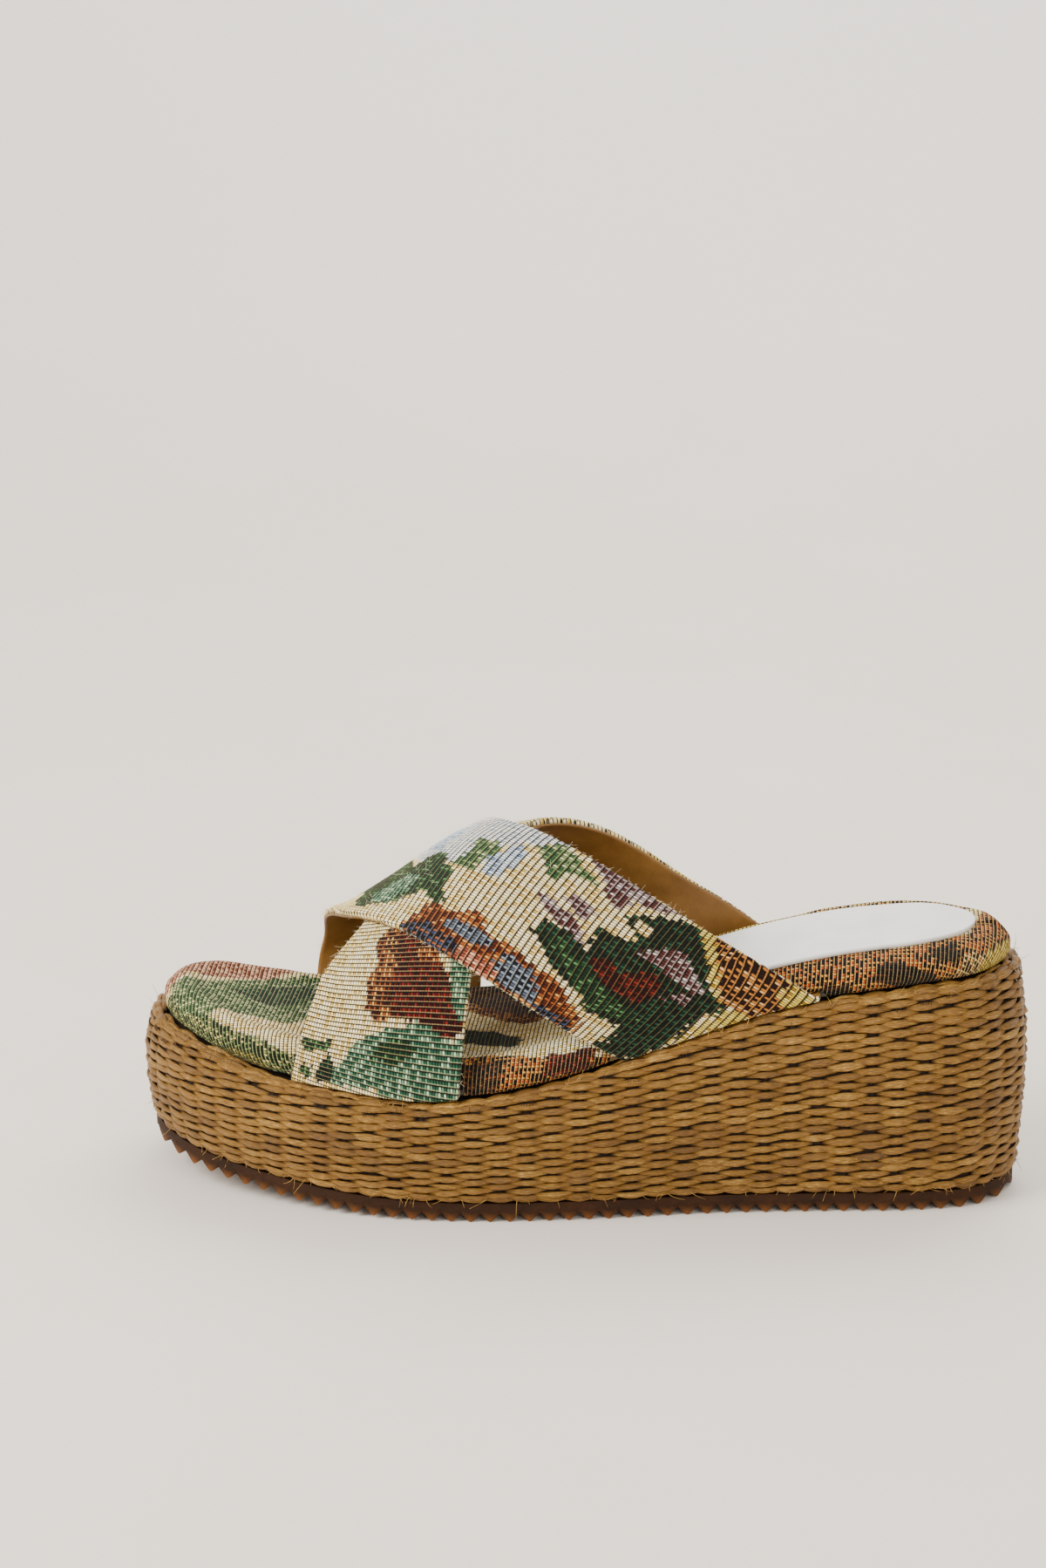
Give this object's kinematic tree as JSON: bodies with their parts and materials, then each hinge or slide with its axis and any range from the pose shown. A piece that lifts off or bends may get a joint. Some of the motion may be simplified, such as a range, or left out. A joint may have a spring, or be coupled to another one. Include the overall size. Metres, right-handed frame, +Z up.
{
  "type": "wedge slide sandal",
  "caption": "Open-toe slide sandal with two crossed textile straps, cushioned footbed, woven-straw platform wedge and ribbed rubber sole.",
  "frame": {"origin": "on the floor, in the middle of the sole's length and width, on the tip of a sole ridge", "axes": "+X towards the heel, +Y towards the inner side of the foot, +Z up"},
  "size_m": [0.2598, 0.0954, 0.1071],
  "materials": {
    "sole_rubber": "brown gum rubber, satin, with cross ribs",
    "core_foam": "matte light foam, hidden",
    "backing_cloth": "dark brown backing cloth behind the straw",
    "woven_straw": "plain-woven paper straw, golden tan with a soft gloss",
    "filler_sheet": "matte felt filler, hidden",
    "fibre_board": "matte cellulose board, hidden",
    "cushion_foam": "soft cream foam, hidden",
    "footbed_tapestry": "jacquard tapestry, brown, green and cream",
    "heel_pad_white": "smooth white coated leather, soft sheen",
    "strap_tapestry": "jacquard tapestry with floral motifs on a cream ground",
    "interlining": "thin woven stiffener, hidden",
    "tan_lining": "tan coated lining, satin"
  },
  "bodies": {
    "root": {"outsole": "sole_rubber", "wedge_core": "core_foam", "raffia_backing": "backing_cloth", "raffia_wrap": "woven_straw", "bottom_filler": "filler_sheet", "insole_board": "fibre_board", "footbed_foam": "cushion_foam", "footbed_cover": "footbed_tapestry", "heel_pad": "heel_pad_white", "strap_over_outer": "strap_tapestry", "strap_over_interlining": "interlining", "strap_over_lining": "tan_lining", "strap_under_outer": "strap_tapestry", "strap_under_interlining": "interlining", "strap_under_lining": "tan_lining"}
  },
  "joints": []
}
